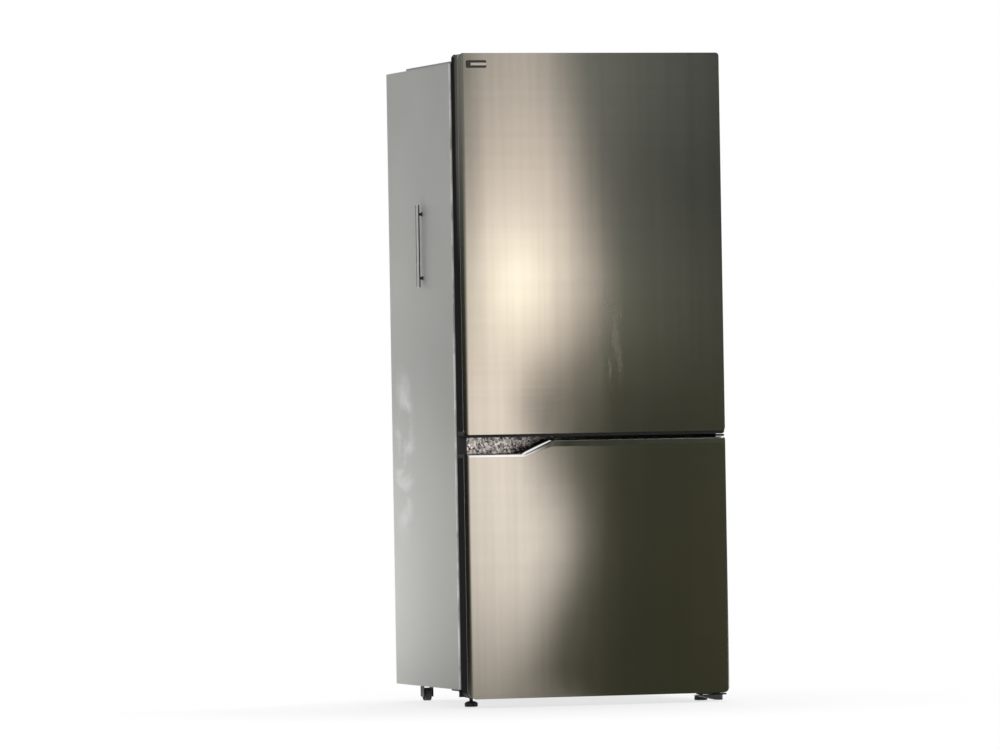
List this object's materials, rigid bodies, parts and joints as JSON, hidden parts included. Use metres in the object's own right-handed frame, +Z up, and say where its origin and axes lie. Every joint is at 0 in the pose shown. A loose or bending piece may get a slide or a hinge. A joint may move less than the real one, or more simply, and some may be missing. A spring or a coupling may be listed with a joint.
{
  "type": "bottom freezer refrigerator",
  "caption": "Tall refrigerator with a brushed steel refrigerator door over a freezer door, a stepped handle pocket in the seam, shelves, drawers, bins and its cooling machinery.",
  "frame": {"origin": "on the floor, in the middle of the cabinet from side to side and of the whole depth", "axes": "+X to the right as seen from the front, +Y to the back, +Z up"},
  "size_m": [0.7655, 0.7032, 1.774],
  "materials": {
    "painted": "satin grey paint",
    "zinc": "zinc-coated steel",
    "board": "laminated board",
    "foam": "rigid insulating foam",
    "liner": "white moulded plastic",
    "grey_plastic": "satin grey plastic",
    "dark_plastic": "dark grey plastic",
    "hinge_steel": "black painted steel",
    "screw_steel": "plated steel",
    "cover_steel": "dark painted steel",
    "steel": "brushed stainless",
    "trim_chrome": "polished chrome",
    "seal_rubber": "soft grey vinyl",
    "glass": "clear toughened glass",
    "clear_plastic": "clear smoky plastic",
    "lens": "frosted lamp lens",
    "dial": "light grey plastic",
    "fin_aluminium": "plain aluminium",
    "copper": "drawn copper",
    "foot_plastic": "black nylon"
  },
  "bodies": {
    "cabinet": {"left_side_panel": "painted", "right_side_panel": "painted", "top_panel": "zinc", "back_panel": "board", "base_pan": "zinc", "divider_plate": "zinc", "cabinet_foam": "foam", "fridge_liner": "liner", "freezer_liner": "liner", "top_cover": "grey_plastic", "top_hinge": "hinge_steel", "top_hinge_cover": "dark_plastic", "middle_hinge": "hinge_steel", "bottom_hinge": "hinge_steel", "hinge_screws": "screw_steel", "base_brackets": "hinge_steel", "compressor_tray": "zinc", "compressor": "hinge_steel", "compressor_mounts": "seal_rubber", "condenser": "fin_aluminium", "drain_pan": "dark_plastic", "refrigerant_pipes": "copper", "rear_cover": "cover_steel", "cord_gland": "seal_rubber", "evaporator": "fin_aluminium", "evaporator_cover": "liner", "fan_motor": "dark_plastic", "air_tower": "liner", "control_box": "liner", "lamp_lens": "lens", "shelf_glass": "glass", "shelf_frames": "liner", "side_rail": "trim_chrome"},
    "upper_door": {"upper_door_skin": "steel", "upper_door_caps": "dark_plastic", "upper_door_foam": "foam", "upper_door_liner": "liner", "upper_door_seal": "seal_rubber", "badge_plate": "trim_chrome"},
    "lower_door": {"lower_door_skin": "steel", "lower_door_top_cap": "dark_plastic", "lower_door_bottom_cap": "dark_plastic", "handle_trim": "trim_chrome", "lower_door_foam": "foam", "lower_door_liner": "liner", "lower_door_seal": "seal_rubber"},
    "left_crisper": {"left_crisper": "clear_plastic"},
    "right_crisper": {"right_crisper": "clear_plastic"},
    "lower_freezer_drawer": {"lower_freezer_drawer": "clear_plastic"},
    "middle_freezer_drawer": {"middle_freezer_drawer": "clear_plastic"},
    "upper_freezer_drawer": {"upper_freezer_drawer": "clear_plastic"},
    "lower_door_bin": {"lower_door_bin": "clear_plastic"},
    "middle_door_bin": {"middle_door_bin": "clear_plastic"},
    "upper_door_bin": {"upper_door_bin": "clear_plastic"},
    "left_foot": {"left_foot": "foot_plastic"},
    "right_foot": {"right_foot": "foot_plastic"},
    "left_roller": {"left_roller": "foot_plastic"},
    "right_roller": {"right_roller": "foot_plastic"},
    "evaporator_fan": {"evaporator_fan": "dial"},
    "temperature_dial": {"temperature_dial": "dial"}
  },
  "joints": [
    {"name": "upper_door_hinge", "type": "hinge", "parent": "cabinet", "child": "upper_door", "pos_m": [0.352, -0.308, 0.732], "axis": [0, 0, 1], "range_deg": [0, 115]},
    {"name": "lower_door_hinge", "type": "hinge", "parent": "cabinet", "child": "lower_door", "pos_m": [0.352, -0.308, 0.024], "axis": [0, 0, 1], "range_deg": [0, 115]},
    {"name": "left_crisper_slide", "type": "slide", "parent": "cabinet", "child": "left_crisper", "axis": [0, -1, 0], "range_m": [0, 0.034]},
    {"name": "right_crisper_slide", "type": "slide", "parent": "cabinet", "child": "right_crisper", "axis": [0, -1, 0], "range_m": [0, 0.034]},
    {"name": "upper_freezer_drawer_slide", "type": "slide", "parent": "cabinet", "child": "upper_freezer_drawer", "axis": [0, -1, 0], "range_m": [0, 0.05]},
    {"name": "middle_freezer_drawer_slide", "type": "slide", "parent": "cabinet", "child": "middle_freezer_drawer", "axis": [0, -1, 0], "range_m": [0, 0.05]},
    {"name": "lower_freezer_drawer_slide", "type": "slide", "parent": "cabinet", "child": "lower_freezer_drawer", "axis": [0, -1, 0], "range_m": [0, 0.05]},
    {"name": "upper_door_bin_lift", "type": "slide", "parent": "upper_door", "child": "upper_door_bin", "axis": [0, 0, 1], "range_m": [0, 0.05]},
    {"name": "middle_door_bin_lift", "type": "slide", "parent": "upper_door", "child": "middle_door_bin", "axis": [0, 0, 1], "range_m": [0, 0.05]},
    {"name": "lower_door_bin_lift", "type": "slide", "parent": "upper_door", "child": "lower_door_bin", "axis": [0, 0, 1], "range_m": [0, 0.05]},
    {"name": "temperature_dial_turn", "type": "hinge", "parent": "cabinet", "child": "temperature_dial", "pos_m": [0.12, -0.08, 1.66], "axis": [0, 0, -1], "range_deg": [0, 270]},
    {"name": "evaporator_fan_spin", "type": "hinge", "parent": "cabinet", "child": "evaporator_fan", "pos_m": [0, 0.247, 0.57], "axis": [0, -1, 0], "continuous": true},
    {"name": "left_roller_spin", "type": "hinge", "parent": "cabinet", "child": "left_roller", "pos_m": [-0.3, 0.298, 0.018], "axis": [1, 0, 0], "continuous": true},
    {"name": "right_roller_spin", "type": "hinge", "parent": "cabinet", "child": "right_roller", "pos_m": [0.3, 0.298, 0.018], "axis": [1, 0, 0], "continuous": true},
    {"name": "left_foot_turn", "type": "hinge", "parent": "cabinet", "child": "left_foot", "pos_m": [-0.33, -0.223, 0], "axis": [0, 0, 1], "continuous": true},
    {"name": "right_foot_turn", "type": "hinge", "parent": "cabinet", "child": "right_foot", "pos_m": [0.33, -0.223, 0], "axis": [0, 0, 1], "continuous": true}
  ]
}
